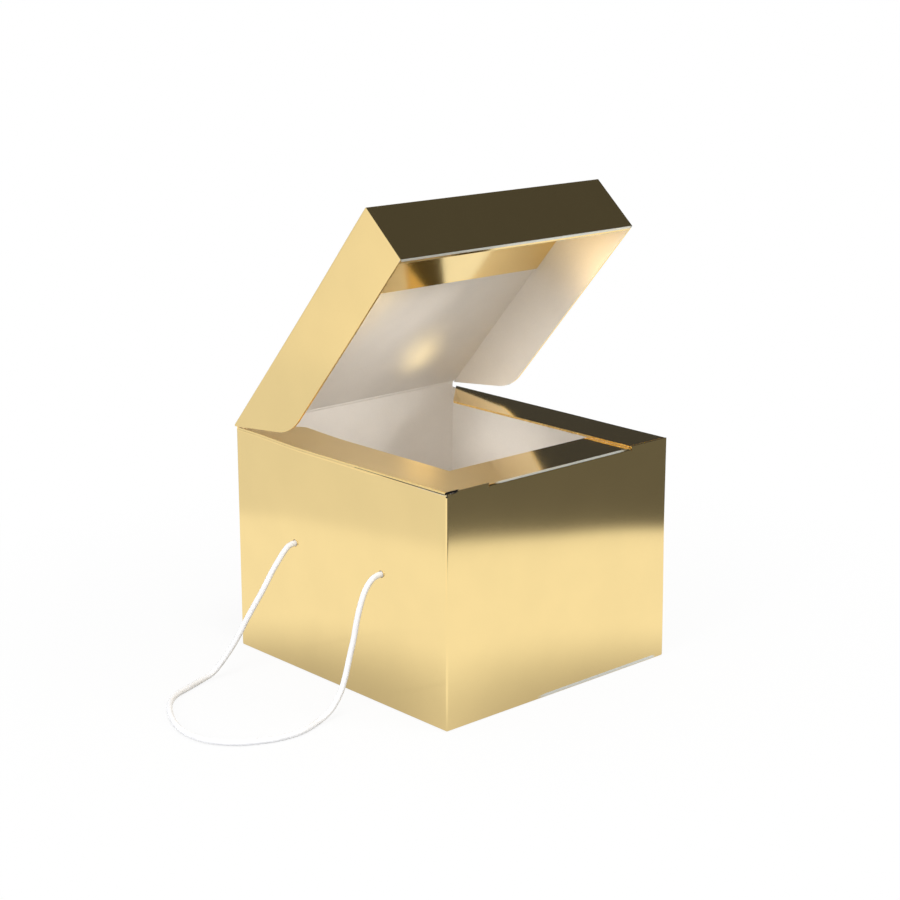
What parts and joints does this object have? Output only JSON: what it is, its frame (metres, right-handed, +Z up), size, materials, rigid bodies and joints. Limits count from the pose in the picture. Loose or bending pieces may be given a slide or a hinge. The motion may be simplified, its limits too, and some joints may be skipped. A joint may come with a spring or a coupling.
{
  "type": "favor box",
  "caption": "Small gift box folded from foil board, with a hinged lid, fold-in rim flaps round its mouth and a loose cord handle at one side.",
  "frame": {"origin": "centre of the carton's bottom, on what it stands on", "axes": "+Z up, -Y towards the front where the lid opens, +Y towards the lid's hinge, -X towards the cord handle"},
  "size_m": [0.2104, 0.137, 0.207],
  "materials": {
    "foil_board": "gloss",
    "white_board": "satin",
    "cord": "matte"
  },
  "bodies": {
    "carton": {"front_wall": "foil_board", "left_wall": "foil_board", "right_wall": "foil_board", "back_wall": "foil_board", "side_seam_tab": "white_board", "bottom_left_flap": "white_board", "bottom_right_flap": "white_board", "bottom_back_flap": "foil_board", "bottom_front_flap": "foil_board", "handle_cord": "cord", "handle_knot_front": "cord", "handle_knot_back": "cord"},
    "left_flap": {"left_rim_flap": "foil_board"},
    "right_flap": {"right_rim_flap": "foil_board"},
    "front_flap": {"front_rim_flap": "foil_board"},
    "lid": {"lid_top": "foil_board", "lid_left_side": "foil_board", "lid_right_side": "foil_board", "lid_front_outer": "foil_board", "lid_front_inner": "foil_board", "lid_lining_flap": "foil_board", "lid_left_corner_tab": "white_board", "lid_right_corner_tab": "white_board"}
  },
  "joints": [
    {"name": "lid_hinge", "type": "hinge", "parent": "carton", "child": "lid", "pos_m": [0, 0.0685, 0.1021], "axis": [-1, 0, 0], "range_deg": [-48.7, 131.3]},
    {"name": "left_flap_fold", "type": "hinge", "parent": "carton", "child": "left_flap", "pos_m": [-0.063, 0, 0.0991], "axis": [0, 1, 0], "range_deg": [0, 85]},
    {"name": "right_flap_fold", "type": "hinge", "parent": "carton", "child": "right_flap", "pos_m": [0.063, 0, 0.0991], "axis": [0, -1, 0], "range_deg": [0, 85]},
    {"name": "front_flap_fold", "type": "hinge", "parent": "carton", "child": "front_flap", "pos_m": [0, -0.0675, 0.0982], "axis": [-1, 0, 0], "range_deg": [0, 85]}
  ]
}
